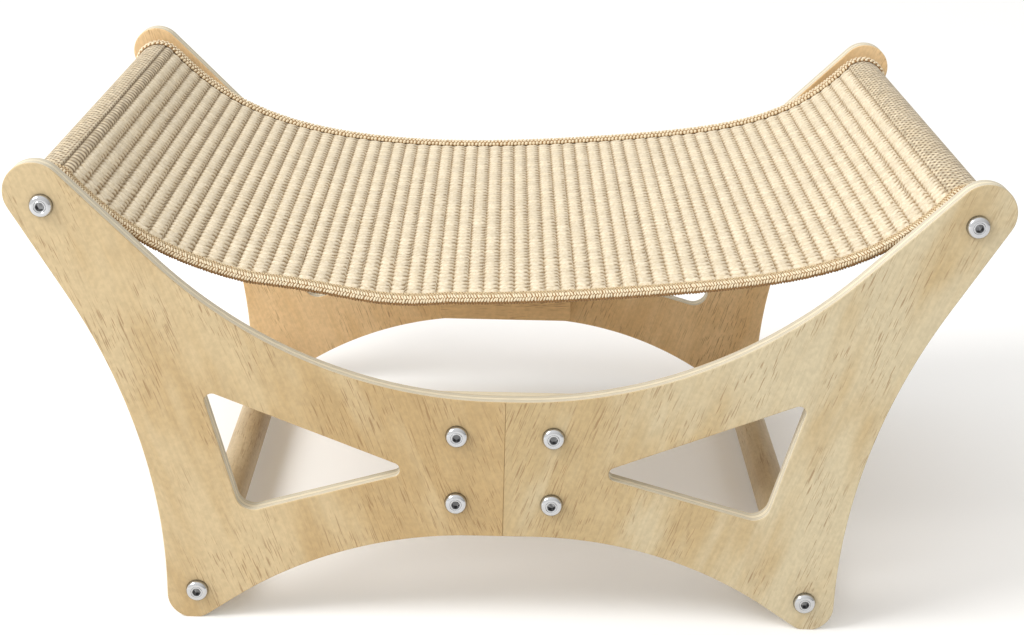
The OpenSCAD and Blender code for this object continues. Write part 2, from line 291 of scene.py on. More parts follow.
def board(name, loops, ys, side, materials):
    """A flat board of wood with rounded arrises, with a material for its faces and one for its edges."""
    flat = [clean_loop(loop) for loop in loops]
    if side < 0:
        flat = [(loop * [-1, 1])[::-1] for loop in flat]
    turns = np.radians(np.linspace(0, 90, EDGE_STEPS + 1))
    depths = EDGE_ROUND * (1 - np.sin(turns))
    rises = EDGE_ROUND * (1 - np.cos(turns))
    rings = list(zip(depths, min(ys) + rises)) + list(zip(depths, max(ys) - rises))[::-1]
    points, faces, kinds, low_ring, high_ring = [], [], [], [], []
    for loop in flat:
        start, count = len(points), len(loop)
        for depth, y in rings:
            points += [(x, y, z) for x, z in inset(loop, depth)]
        around = ring_faces(start, count, len(rings))
        faces += around
        kinds += [int(i // count == EDGE_STEPS) for i in range(len(around))]
        low_ring += range(start, start + count)
        high_ring += range(len(points) - count, len(points))
    smooth = [True] * len(faces)
    caps = [[Vector((x, z, 0)) for x, z in inset(loop, EDGE_ROUND)] for loop in flat]
    corners = sum(caps, [])
    for triangle in tessellate_polygon(caps):
        a, b, c = (corners[i] for i in triangle)
        order = triangle if (b - a).cross(c - a).z > 0 else triangle[::-1]
        faces.append([low_ring[i] for i in order])
        faces.append([high_ring[i] for i in order[::-1]])
    flat_count = len(faces) - len(smooth)
    piece = new_piece(name, points, faces, materials)
    piece.data.polygons.foreach_set("material_index", kinds + [0] * flat_count)
    piece.data.polygons.foreach_set("use_smooth", smooth + [False] * flat_count)
    piece.data.set_sharp_from_angle(angle=math.radians(SHARP_ANGLE))
    return piece


class Tree:
    """A short way to write the nodes of a material or a world. Most calls return an output."""

    def __init__(self, name, owners="materials"):
        self.owner = getattr(bpy.data, owners).new(name)
        self.owner.use_nodes = True
        self.tree = self.owner.node_tree

    def feed(self, socket, value):
        if isinstance(value, bpy.types.NodeSocket):
            self.tree.links.new(value, socket)
        else:
            socket.default_value = value

    def node(self, kind, *values, **settings):
        """A new node with its settings, and with values for its first inputs."""
        node = self.tree.nodes.new(f"ShaderNode{kind}")
        for name, value in settings.items():
            setattr(node, name, value)
        for socket, value in zip(node.inputs, values):
            self.feed(socket, value)
        return node

    def surface(self, shader="Principled BSDF", **values):
        for name, value in values.items():
            self.feed(self.tree.nodes[shader].inputs[name.replace("_", " ")], value)
        return self.owner

    def place(self):
        return self.node("TexCoord").outputs["Object"]

    def attribute(self, name):
        return self.node("Attribute", attribute_name=name).outputs["Vector"]

    def parts(self, vector):
        return self.node("SeparateXYZ", vector).outputs[:]

    def join(self, x, y, z):
        return self.node("CombineXYZ", x, y, z).outputs[0]

    def mapped(self, vector, turn=(0, 0, 0), scale=(1, 1, 1)):
        turn = [math.radians(angle) for angle in turn]
        return self.node("Mapping", vector, (0, 0, 0), turn, scale).outputs[0]

    def math(self, operation, *values):
        return self.node("Math", *values, operation=operation).outputs[0]

    def times(self, first, second):
        return self.math("MULTIPLY", first, second)

    def off_middle(self, value):
        """How far a value is from the middle of its whole step, from zero to a half."""
        return self.math("ABSOLUTE", self.math("SUBTRACT", self.math("FRACT", value), 0.5))

    def noise(self, vector, scale, detail=2, roughness=0.5):
        return self.node("TexNoise", vector, 0, scale, detail, roughness).outputs[0]

    def spread(self, value, low, high, new_low=0, new_high=1):
        values = (value, low, high, new_low, new_high)
        return self.node("MapRange", *values, interpolation_type="SMOOTHSTEP").outputs[0]

    def blend(self, share, first, second, mode="MIX"):
        node = self.node("Mix", share, data_type="RGBA", blend_type=mode)
        self.feed(node.inputs[6], first)
        self.feed(node.inputs[7], second)
        return node.outputs[2]

    def shaded(self, tint, shade):
        return self.blend(1, tint, self.join(shade, shade, shade), "MULTIPLY")

    def ramp(self, value, stops):
        node = self.node("ValToRGB", value)
        elements = node.color_ramp.elements
        while len(elements) < len(stops):
            elements.new(0)
        for element, (place, colour) in zip(elements, stops):
            element.position = place
            element.color = colour
        return node.outputs[0]

    def bump(self, height, distance, strength):
        node = self.node("Bump")
        for name, value in (("Strength", strength), ("Distance", distance), ("Height", height)):
            self.feed(node.inputs[name], value)
        return node.outputs[0]


def colour(red, green, blue):
    """A colour from screen values of 0 to 255."""
    def linear(value):
        share = value / 255
        return share / 12.92 if share <= 0.04045 else ((share + 0.055) / 1.055) ** 2.4
    return (linear(red), linear(green), linear(blue), 1)


# Wood
GRAIN_LEAN = 20
GRAIN_DRIFT = 0.012
DRIFT_SCALE = 9
DRIFT_SHARE = 0.25
GRAIN_RELIEF = 0.00006
EDGE_RELIEF = 0.0001
DEEP_REACH = (0.04, 0.16)
DEEP_SHARES = (0.11, -0.06)
BAND_SHARE = 0.55
DASH_SHARE = 0.64
LAYER_SHARES = ((0, 0.10), (0.135, 0.335), (0.37, 0.63), (0.665, 0.86), (0.895, 1))
GLUE_SHARE = 0.005
RAGGED_SHARE = 0.012

# Noises of the wood: waves along the grain as a share of those across it, scale and detail
GRAIN_NOISES = {
    "bands": (0.16, 62, 3),
    "clouds": (0.6, 24, 2),
    "streaks": (0.03, 900, 3),
    "flecks": (0.8, 430, 3),
    "marks": (0.05, 1750, 1),
    "groups": (0.35, 60, 1),
}

# Tones of the wood: pale and deep, and dark for the dashes
# Browner tones for the rear panels, also used by the splice plates: painted warm shade, as their faces sit
# in shade inside the hammock
SHADE_BROWN = (colour(218, 187, 142), colour(205, 170, 121))
PANEL_TINTS = {
    "front_left": (colour(194, 173, 135), colour(179, 152, 108)),
    "front_right": (colour(194, 180, 149), colour(181, 158, 117)),
    "rear_left": SHADE_BROWN,
    "rear_right": SHADE_BROWN,
}
PLY_DASH = colour(134, 102, 66)
DOWEL_TINTS = (colour(186, 166, 132), colour(170, 147, 112), colour(128, 98, 66))
EDGE_CREAM = colour(220, 210, 186)
EDGE_GREY = colour(202, 194, 175)
EDGE_GLUE = colour(140, 116, 82)


def wood_grain(tree, place, pale, deep, dash, depth=0):
    """Colour and height of wood whose grain runs along Z of the place.

    A depth over zero favours the deep colour and the dashes.
    """
    drift = tree.noise(tree.mapped(place, scale=(1, 1, DRIFT_SHARE)), DRIFT_SCALE)
    wavy = tree.blend(GRAIN_DRIFT, place, drift, "LINEAR_LIGHT")
    noises = {
        name: tree.noise(tree.mapped(wavy, scale=(1, 1, along_share)), scale, detail)
        for name, (along_share, scale, detail) in GRAIN_NOISES.items()
    }
    crowded = tree.math("ADD", noises["groups"], tree.math("MAXIMUM", depth, 0))
    dashes = tree.times(tree.spread(noises["marks"], 0.58, 0.68), tree.spread(crowded, 0.40, 0.62))
    bands = tree.times(noises["bands"], BAND_SHARE)
    mixed = tree.math("MULTIPLY_ADD", noises["clouds"], 1 - BAND_SHARE, bands)
    tone = tree.blend(tree.spread(tree.math("ADD", mixed, depth), 0.37, 0.65), pale, deep)
    fine = tree.spread(noises["streaks"], 0.25, 0.75, 0.95, 1.04)
    mottled = tree.spread(noises["flecks"], 0.3, 0.7, 0.935, 1.05)
    toned = tree.shaded(tone, tree.times(fine, mottled))
    coloured = tree.blend(tree.times(dashes, DASH_SHARE), toned, dash)
    return coloured, tree.math("SUBTRACT", noises["streaks"], dashes)


def wood_surface(tree, coloured, height, roughness):
    return tree.surface(
        Base_Color=coloured, Roughness=roughness, Specular_IOR_Level=0.35,
        Normal=tree.bump(height, GRAIN_RELIEF, 0.5),
    )


def ply_face(name, lean, pale, deep):
    """A veneer with its grain at a lean, which is deeper in tone near the seam."""
    tree = Tree(name)
    upright = tree.place()
    across, _, _ = tree.parts(upright)
    depth = tree.spread(tree.math("ABSOLUTE", across), *DEEP_REACH, *DEEP_SHARES)
    place = tree.mapped(upright, turn=(0, lean, 0))
    coloured, height = wood_grain(tree, place, pale, deep, PLY_DASH, depth)
    return wood_surface(tree, coloured, height, tree.spread(height, 0, 1, 0.50, 0.62))


def ply_edge():
    """Layers of veneer through a panel, with lines of glue between them."""
    tree = Tree("plywood_edge")
    place = tree.place()
    _, y, _ = tree.parts(place)
    ragged = tree.noise(tree.mapped(place, scale=(1, 0.2, 1)), 160)
    depth = tree.math("SUBTRACT", tree.math("ABSOLUTE", y), FRAME_HALF)
    ragged = tree.spread(ragged, 0, 1, -RAGGED_SHARE, RAGGED_SHARE)
    share = tree.math("ADD", tree.math("DIVIDE", depth, PLY), ragged)
    stops = []
    for number, (start, end) in enumerate(LAYER_SHARES):
        tint = EDGE_GREY if number % 2 else EDGE_CREAM
        stops += [(start, tint), (end, tint), (end + GLUE_SHARE, EDGE_GLUE)]
    layers = tree.ramp(share, stops[:-1])
    fibres = tree.noise(tree.mapped(place, scale=(0.35, 4, 0.35)), 420, 3)
    return tree.surface(
        Base_Color=tree.shaded(layers, tree.spread(fibres, 0.25, 0.75, 0.88, 1.06)),
        Roughness=0.66, Specular_IOR_Level=0.3, Normal=tree.bump(fibres, EDGE_RELIEF, 0.5),
    )


def dowel_wood():
    """Turned wood with its grain along the crossbar."""
    tree = Tree("dowel")
    place = tree.mapped(tree.place(), turn=(90, 0, 0))
    coloured, height = wood_grain(tree, place, *DOWEL_TINTS)
    return wood_surface(tree, coloured, height, 0.5)


# Bolts
HEAD_RADIUS = 0.006
HEAD_HEIGHT = 0.0033
HEAD_SKIRT = 0.0004
HEAD_FLAT = 0.00375
GROOVE_RADIUS = 0.0030
GROOVE_HALF = 0.00025
GROOVE_DEPTH = 0.0002
SOCKET_RIM = 0.0025
SOCKET_HALF = 0.0020
SOCKET_CHAMFER = 0.0002
SOCKET_DEPTH = 0.0020
SHANK_RADIUS = 0.0030
SHANK_CHAMFER = 0.0006
INSERT_LENGTH = 0.015
SEAT_PLAY = 0.00005
TURNING_RELIEF = 0.00003
# Darker socket: partly the steel's own oxide in its hollow, partly painted shade
SOCKET_OXIDE_AND_SHADE_SHARE = 0.24
# Painted contact shade round the outer rim of each head
RIM_SHADE_SHARE = 0.45
SOCKET_TURN = 17
BOLT_SIDES = 48
DOME_STEPS = 9
BRASS = colour(196, 160, 88)
STEEL = colour(196, 197, 199)


def insert_brass():
    tree = Tree("insert_brass")
    place = tree.place()
    tone = tree.spread(tree.noise(place, 260), 0.3, 0.7, 0.92, 1)
    rough = tree.spread(tree.noise(place, 900, 3), 0.3, 0.7, 0.225, 0.405)
    return tree.surface(Base_Color=tree.shaded(BRASS, tone), Roughness=rough, Metallic=1.0)


def turned_steel():
    """Bright steel with fine rings from turning, by distance from a bolt's axis, with painted contact shade
    round the rim of each head and a darker socket, partly the steel's own oxide and partly painted shade.
    """
    tree = Tree("bolt_steel")
    radius, _, _ = tree.parts(tree.attribute("turned"))
    rings = tree.noise(tree.join(radius, 0, 0), 5200)
    # Darker socket: partly the steel's own oxide in its hollow, partly painted shade
    socket = tree.spread(radius, SOCKET_HALF, SOCKET_RIM, SOCKET_OXIDE_AND_SHADE_SHARE, 1)
    # Painted contact shade: a dark ring round the outer rim of each head
    rim_shade = tree.spread(radius, HEAD_RADIUS - HEAD_SKIRT, HEAD_RADIUS, 1, RIM_SHADE_SHARE)
    tone = tree.times(tree.spread(rings, 0.3, 0.7, 0.86, 1.06), tree.times(socket, rim_shade))
    rough = tree.spread(tree.noise(tree.place(), 1400), 0.3, 0.7, 0.08, 0.15)
    return tree.surface(
        Base_Color=tree.shaded(STEEL, tone), Roughness=rough, Metallic=1.0,
        Normal=tree.bump(rings, TURNING_RELIEF, 0.6),
    )


def bolt_profile(length):
    """A bolt's turned outline as (radius, height over its seat), from shank end to socket rim."""
    turns = np.radians(np.linspace(0, 90, DOME_STEPS))
    dome_radii = HEAD_FLAT + (HEAD_RADIUS - HEAD_FLAT) * np.cos(turns)
    dome_heights = HEAD_SKIRT + (HEAD_HEIGHT - HEAD_SKIRT) * np.sin(turns)
    shank = [
        (SHANK_RADIUS - SHANK_CHAMFER, -length),
        (SHANK_RADIUS, SHANK_CHAMFER - length),
        (SHANK_RADIUS, 0),
        (HEAD_RADIUS, 0),
    ]
    groove = [
        (GROOVE_RADIUS + GROOVE_HALF, HEAD_HEIGHT),
        (GROOVE_RADIUS, HEAD_HEIGHT - GROOVE_DEPTH),
        (GROOVE_RADIUS - GROOVE_HALF, HEAD_HEIGHT),
        (SOCKET_RIM, HEAD_HEIGHT),
    ]
    return shank + list(zip(dome_radii, dome_heights)) + groove


def bolt_rings(length, turn):
    """Rings of a bolt's points as (radius, height), with the hexagon socket turned by an angle."""
    angles = np.arange(BOLT_SIDES) * 360 / BOLT_SIDES
    rings = [[(radius, height)] * BOLT_SIDES for radius, height in bolt_profile(length)]
    hexagon = SOCKET_HALF / np.cos(np.radians((angles + turn) % 60 - 30))
    for depth in (SOCKET_CHAMFER, SOCKET_DEPTH):
        rings.append([(radius, HEAD_HEIGHT - depth) for radius in hexagon])
    return angles, rings


def bolt_set(name, places, length, material):
    """Button-head bolts at places given as (x, z, side of the hammock in y)."""
    points, faces, turned = [], [], []
    for number, (x, z, out) in enumerate(places):
        angles, rings = bolt_rings(length, SOCKET_TURN * number)
        start = len(points)
        for ring in rings:
            for angle, (radius, height) in zip(angles, ring):
                across, up = ray(angle, radius)
                points.append((x + across, out * (FRAME_HALF + PLY + SEAT_PLAY + height), z + up))
                turned.append((radius, height, 0))
        bolt = ring_faces(start, BOLT_SIDES, len(rings))
        bolt.append(range(start, start + BOLT_SIDES)[::-1])
        bolt.append(range(len(points) - BOLT_SIDES, len(points)))
        faces += bolt if out < 0 else flipped(bolt)
    piece = new_piece(name, points, faces, [material])
    piece.data.set_sharp_from_angle(angle=math.radians(SHARP_ANGLE))
    set_attribute(piece, "turned", turned)
    return piece


# Mat
SLEEVE_OUTER = SLEEVE_INNER + SLEEVE_THICKNESS
MAT_SEAT = SLEEVE_INNER + MAT_THICKNESS / 2
MAT_END = TOP_AXIS + ray(90 + LEAVE_ANGLE, MAT_SEAT)
MAT_HALF = MAT_END[0]
END_RISE = MAT_HALF * math.tan(math.radians(LEAVE_ANGLE))
MAT_RISE = MAT_END[1] - MAT_LOW
STEEP_RISE = (END_RISE - 2 * MAT_RISE) / (STEEP_POWER - 2)
EVEN_RISE = MAT_RISE - STEEP_RISE
LEAN_RISE = MAT_LEAN / LEAN_PEAK_SHARE
LINE_STEPS = 2000
RIB_DEPTH = 0.0016
RIB_SQUARENESS = 2.4
RIB_FULLNESS = 0.6
RIB_SIZE_SHARE = 0.08
SAME_RIB = 1e-6
MAT_SEED = 7
WRAP_PITCH = 0.0053
WRAP_SLANT = 0.7
WRAP_RELIEF = 0.0009
WRAP_JITTER_SHARE = 0.06
WRAP_STEPS = 4
JITTER_STEPS = 3
CREST_SHARE = 0.40
FLANK_SHARES = (0.1, 0.7)
RIB_PLACE_SHARES = np.array([0, 0.14, 0.34, 0.5, 0.66, 0.86])
MAT_INSET = 0.0011
MAT_REACH = MAT_EDGE - MAT_INSET
PINCH = 0.0019
PINCH_END = 0.0055
PINCH_START = 0.0090
WOBBLE_LENGTH = 0.061
WOBBLE_SHARE = 0.3
UNDER_HOLLOW = 0.0006
UNDER_STEPS = 9
EDGE_WAVE = 0.0015
EDGE_WAVE_REACH = 0.05
EDGE_WAVE_SHARES = (-0.60, -0.14)
FIBRE_RELIEF = 0.0004
MAT_LIGHT = colour(227, 214, 190)
MAT_DULL = colour(209, 193, 163)
MAT_DARK = colour(134, 102, 54)

# Marks and tones of the yarn: two values of a place or a noise, and the shares they give if not 0 and 1.
# Places run from 0 to 1 across a rib, or from 0 to a half off the middle of a rib or of a turn of wrap.
# The right flank's stronger dashes are partly painted shade on the side away from the key light
RIGHT_FLANK_SHARES = (0.58, 0.80)
RIGHT_END_SHARES = (0.94, 1, 1, 0.7)
LEFT_FLANK_SHARES = (0.28, 0.08, 0, 0.8)
WRAP_DASH_SHARES = (0.20, 0.42)
WRAP_LINE_SHARES = (0.32, 0.5, 0, 0.26)
CREASE_SHARES = (0.32, 0.62, 0.60, 0.98)
FURROW_SHARES = (0.37, 0.48)
FURROW_DOT_SHARES = (0.1, 0.4, 0.4, 1)
PINCHED_SHARE = 0.3
FIBRE_TONE_SHARES = (0.25, 0.8, 0.90, 1.06)
WRAP_TONE_SHARES = (0.3, 0.7, 0.93, 1.05)
MAT_GAP_SHARE = 0.86


def mat_line(share):
    """Points of the mat's middle line and its upward normals, at shares from -1 to 1."""
    share = np.asarray(share, float)
    z = MAT_LOW + EVEN_RISE * share**2 + STEEP_RISE * share**STEEP_POWER
    z = z + LEAN_RISE * share * (1 - share**2) ** 2
    slope = 2 * EVEN_RISE * share + STEEP_POWER * STEEP_RISE * share ** (STEEP_POWER - 1)
    slope = (slope + LEAN_RISE * (1 - share**2) * (1 - 5 * share**2)) / MAT_HALF
    normal = np.stack([-slope, np.ones_like(slope)], axis=-1) / np.sqrt(1 + slope**2)[..., None]
    return np.stack([MAT_HALF * share, z], axis=-1), normal


RUN_SHARES = np.linspace(-1, 1, LINE_STEPS + 1)
RUNS = runs_along(mat_line(RUN_SHARES)[0])
MAT_LENGTH = RUNS[-1]
RIB_COUNT = round(MAT_LENGTH / RIB_PITCH)


def rib_shares(ribs):
    """Shares of the mat's line at places counted in ribs."""
    return np.interp(ribs * MAT_LENGTH / RIB_COUNT, RUNS, RUN_SHARES)


def ease(values, low, high):
    share = np.clip((values - low) / (high - low), 0, 1)
    return share * share * (3 - 2 * share)


def edge_wave(share, y):
    """How much higher the front edge waves than the mat behind it, on its left half."""
    start, end = EDGE_WAVE_SHARES
    along = np.clip((share - start) / (end - start), 0, 1)
    return EDGE_WAVE * np.sin(2 * math.pi * along) * ease(-y, MAT_EDGE - EDGE_WAVE_REACH, MAT_EDGE)


def mat_relief(ribs, ys):
    """The mat's upper face: height over its crests, turns of wrap and freedom from the bindings."""
    generator = np.random.default_rng(MAT_SEED)
    phases = generator.uniform(0, 1, RIB_COUNT)
    sizes = generator.normal(1, RIB_SIZE_SHARE, RIB_COUNT)
    jitter = generator.normal(0, WRAP_JITTER_SHARE, (RIB_COUNT, (len(ys) - 1) // JITTER_STEPS + 2))
    number = np.minimum(np.floor(ribs).astype(int), RIB_COUNT - 1)
    from_crest = np.abs(2 * (ribs - np.floor(ribs)) - 1)
    profile = (1 - from_crest**RIB_SQUARENESS) ** RIB_FULLNESS
    free = ease(ys[-1] - np.abs(ys), PINCH_END, PINCH_START)
    phase = phases[number][:, None]
    wobble = WOBBLE_SHARE * np.sin(2 * math.pi * (ys / WOBBLE_LENGTH + phase))
    spots = np.linspace(0, jitter.shape[1] - 1, len(ys))
    jitter = sampled(spots, np.arange(jitter.shape[1]), jitter.T).T
    turn = ys / WRAP_PITCH - WRAP_SLANT * from_crest[:, None] + phase + wobble + jitter[number]
    crease = (0.5 + 0.5 * np.cos(2 * math.pi * turn)) ** 2
    flank = CREST_SHARE + (1 - CREST_SHARE) * ease(from_crest, *FLANK_SHARES)
    ribbed = RIB_DEPTH * (sizes[number] * (profile - 1))[:, None] - WRAP_RELIEF * flank[:, None] * crease
    return ribbed * free - PINCH * (1 - free), turn, free


def mat_face(ribs, ys, heights):
    """Points of the mat at places counted in ribs and along y, at heights over its middle line."""
    shares = rib_shares(ribs)
    middle, normal = mat_line(shares)
    raised = middle[:, None] + normal[:, None] * heights[..., None]
    return stacked(raised[..., 0], ys, raised[..., 1] + edge_wave(shares[:, None], ys))


def mat_top():
    """Points and cloth places of the mat's upper face, and the place of each row in ribs."""
    ys = np.linspace(-MAT_REACH, MAT_REACH, round(2 * MAT_REACH / WRAP_PITCH) * WRAP_STEPS + 1)
    ribs = np.append((np.arange(RIB_COUNT)[:, None] + RIB_PLACE_SHARES).ravel(), RIB_COUNT)
    relief, turn, free = mat_relief(ribs, ys)
    return mat_face(ribs, ys, MAT_THICKNESS / 2 + relief), stacked(ribs[:, None], turn, free), ribs


def mat_under():
    """Points and cloth places of the mat's lower face, and the place of each row in ribs, two to a rib."""
    ys = np.append(np.linspace(-MAT_REACH, EDGE_WAVE_REACH - MAT_REACH, UNDER_STEPS), MAT_REACH)
    ribs = np.arange(2 * RIB_COUNT + 1)[:, None] / 2
    hollow = UNDER_HOLLOW * (ribs % 1 == 0)
    points = mat_face(ribs[:, 0], ys, hollow - MAT_THICKNESS / 2)
    return points, stacked(ribs, ys / WRAP_PITCH, 1), ribs[:, 0]


def mat_caps(index, low_index, ribs, low_ribs):
    """The mat's four edges: one face a half rib at the front and rear, and one at each end."""
    faces = []
    for i in range(len(low_ribs) - 1):
        start, end = low_ribs[i] - SAME_RIB, low_ribs[i + 1] + SAME_RIB
        columns = np.nonzero((ribs > start) & (ribs < end))[0]
        faces.append([low_index[i, 0], low_index[i + 1, 0], *index[columns[::-1], 0]])
        faces.append([low_index[i + 1, -1], low_index[i, -1], *index[columns, -1]])
    faces.append([*low_index[0], *index[0, ::-1]])
    faces.append([*low_index[-1, ::-1], *index[-1]])
    return faces


def mat_piece(material):
    """The mat: ribs of wrapped cord from front to rear, pinched under both bindings."""
    points, cloth, ribs = mat_top()
    low_points, low_cloth, low_ribs = mat_under()
    index = numbered(points)
    low_index = numbered(low_points, index.size)
    faces = grid_faces(index) + grid_faces(low_index[::-1]) + mat_caps(index, low_index, ribs, low_ribs)
    corners = np.concatenate([points.reshape(-1, 3), low_points.reshape(-1, 3)])
    piece = new_piece("woven_mat", corners, faces, [material])
    set_attribute(piece, "cloth", np.concatenate([cloth.reshape(-1, 3), low_cloth.reshape(-1, 3)]))
    return piece


def cloth_surface(tree, coloured, height):
    return tree.surface(
        Base_Color=coloured, Roughness=0.9, Specular_IOR_Level=0.2, Sheen_Weight=0.15,
        Normal=tree.bump(height, FIBRE_RELIEF, 0.8),
    )


def mat_cloth():
    """Cream yarn: uneven wraps, dark dashes on the flanks of each rib and dots in the furrows. The dashes
    are stronger and wider on the right flank: partly marks of the wraps, partly painted shade on the side
    away from the key light.
    """
    tree = Tree("mat_cloth")
    rib, turn, free = tree.parts(tree.attribute("cloth"))
    number, inside = tree.math("FLOOR", rib), tree.math("FRACT", rib)
    wrap = tree.off_middle(turn)
    wraps = tree.noise(tree.join(number, tree.math("FLOOR", turn), 0), 3.7, 0)
    creases = tree.noise(tree.join(number, tree.math("ROUND", turn), 7), 3.3, 0)
    # Dashes on both flanks are marks of the wraps; the stronger, wider band on the right flank is also
    # painted shade
    right = tree.times(tree.spread(inside, *RIGHT_FLANK_SHARES), tree.spread(inside, *RIGHT_END_SHARES))
    left = tree.spread(inside, *LEFT_FLANK_SHARES)
    dashes = tree.times(tree.spread(wrap, *WRAP_DASH_SHARES), tree.math("MAXIMUM", right, left))
    lines = tree.math("MAXIMUM", dashes, tree.spread(wrap, *WRAP_LINE_SHARES))
    lines = tree.times(lines, tree.spread(creases, *CREASE_SHARES))
    furrow = tree.spread(tree.off_middle(rib), *FURROW_SHARES)
    furrow = tree.times(furrow, tree.spread(wrap, *FURROW_DOT_SHARES))
    loose = tree.math("MULTIPLY_ADD", free, 1 - PINCHED_SHARE, PINCHED_SHARE)
    gap = tree.times(tree.math("MAXIMUM", lines, furrow), loose)
    fibres = tree.noise(tree.join(tree.times(rib, 1.2), tree.times(turn, 9), 0), 1.6, 3, 0.6)
    tufts = tree.noise(tree.place(), 560, 3)
    light = tree.blend(tree.spread(tufts, 0.3, 0.7), MAT_LIGHT, MAT_DULL)
    shade = tree.times(tree.spread(fibres, *FIBRE_TONE_SHARES), tree.spread(wraps, *WRAP_TONE_SHARES))
    coloured = tree.blend(tree.times(gap, MAT_GAP_SHARE), tree.shaded(light, shade), MAT_DARK)
    return cloth_surface(tree, coloured, tree.math("SUBTRACT", tree.times(fibres, 0.35), gap))


# Sleeves
WEAVE_AROUND = 0.0018
WEAVE_ALONG = 0.0050
CANVAS_LIGHT = colour(216, 201, 173)
CANVAS_DULL = colour(204, 187, 156)
CANVAS_DARK = colour(106, 80, 46)
STRAND_RELIEF = 0.00015
STRAND_TURN = 30
SEAM_ANGLE = 90 + LEAVE_ANGLE
POCKET_TURN = 2 * math.degrees(math.atan(POCKET_LENGTH / SLEEVE_INNER))
TAIL_ANGLE = SEAM_ANGLE + POCKET_TURN - 360
SLEEVE_ARC_STEPS = 92
TAIL_STEPS = 8
SLEEVE_LENGTH_STEPS = 24
SLEEVE_INSET = 0.0009
SLEEVE_REACH = MAT_EDGE - SLEEVE_INSET
SLEEVE_SKIN = 0.0001
SLEEVE_FADE = 0.0012
SLEEVE_LIP_SHARE = 0.6
HEM = 0.0056
HEM_SWELL = 0.0006
HEM_FULLNESS = 0.7
HEM_SINK = 0.0004
HEM_BLEND = 0.0004
GROOVE_GAP = 0.0003
GROOVE_RUN = HEM + GROOVE_GAP
GROOVE_SINK = 0.0006
GROOVE_SPREAD = 0.0005
RIDGE_GAP = 0.0014
RIDGE_RUN = HEM + RIDGE_GAP
RIDGE_RISE = 0.0005
RIDGE_SPREAD = 0.0006
SEAM_RUN = 0.0008
SEAM_HALF = 0.0007
SEAM_LAP = 1.5
SEAM_PITCH = 0.0044
SEAM_STITCH_SHARE = 0.72
SEAM_STITCH_WIDTH = 0.0009
SEAM_STITCH_HEIGHT = 0.0008
SEAM_STITCH_SINK = 0.0005

# Marks and tones of the canvas, in the same way, with places off the middle of a column or row.
DOT_COLUMN_SHARES = (0.5, 0.1)
DOT_ROW_SHARES = (0.14, 0.4)
COLUMN_LINE_SHARES = (0.36, 0.5)
ROW_LINE_SHARES = (0.38, 0.5)
WEAVE_LINE_SHARE = 0.32
STRIPE_SHARES = (0.16, 0.40)
STITCH_HOLE_SHARES = (0.08, 0.34, 0.3, 1)
FUZZ_TONE_SHARES = (0.35, 0.65, 0.68, 1.12)
CANVAS_GAP_SHARE = 0.9


def canvas_cloth(name, hemmed):
    """Plain-weave canvas with rows of seams, by run round the crossbar and place along it.

    A hem has cross stripes in place of the weave, painted darker towards the mat as shade.
    """
    tree = Tree(name)
    run, along, hem = tree.parts(tree.attribute("cloth"))
    column = tree.math("DIVIDE", run, WEAVE_AROUND)
    row = tree.math("DIVIDE", along, WEAVE_ALONG)
    odd = tree.math("FLOORED_MODULO", tree.math("FLOOR", column), 2)
    across, straight = tree.off_middle(column), tree.off_middle(row)
    down = tree.off_middle(tree.math("MULTIPLY_ADD", odd, 0.5, row))
    dots = tree.times(tree.spread(across, *DOT_COLUMN_SHARES), tree.spread(down, *DOT_ROW_SHARES))
    columns, rows = tree.spread(across, *COLUMN_LINE_SHARES), tree.spread(down, *ROW_LINE_SHARES)
    lines = tree.times(tree.math("MAXIMUM", columns, rows), WEAVE_LINE_SHARE)
    gap = tree.math("MAXIMUM", lines, dots)
    seams = (SEAM_RUN,)
    if hemmed:
        seams = (GROOVE_RUN, 2 * RIDGE_RUN - GROOVE_RUN)
        # Painted shade: the hem's stripes grow darker towards the mat
        stripes = tree.times(tree.spread(straight, *STRIPE_SHARES), tree.spread(run, 0, HEM, 1, 0.7))
        gap = tree.times(gap, tree.math("SUBTRACT", 1, hem))
        gap = tree.math("MULTIPLY_ADD", stripes, hem, gap)
    for seam in seams:
        away = tree.math("ABSOLUTE", tree.math("SUBTRACT", run, seam))
        stitched = tree.times(tree.spread(away, SEAM_HALF, 0), tree.spread(straight, *STITCH_HOLE_SHARES))
        gap = tree.math("MAXIMUM", gap, stitched)
    place = tree.place()
    fuzz = tree.noise(place, 380)
    light = tree.blend(tree.spread(tree.noise(place, 160, 3), 0.3, 0.7), CANVAS_LIGHT, CANVAS_DULL)
    light = tree.shaded(light, tree.spread(fuzz, *FUZZ_TONE_SHARES))
    coloured = tree.blend(tree.times(gap, CANVAS_GAP_SHARE), light, CANVAS_DARK)
    return cloth_surface(tree, coloured, tree.math("SUBTRACT", tree.times(fuzz, 0.25), gap))


def thread(name, tint):
    """Spun yarn of one tint."""
    tree = Tree(name)
    strands = tree.noise(tree.mapped(tree.place(), turn=(0, 0, STRAND_TURN), scale=(1, 0.3, 1)), 2200)
    return tree.surface(
        Base_Color=tree.shaded(tint, tree.spread(strands, 0.25, 0.75, 0.8, 1.08)),
        Roughness=0.85, Specular_IOR_Level=0.25, Sheen_Weight=0.1,
        Normal=tree.bump(strands, STRAND_RELIEF, 0.7),
    )


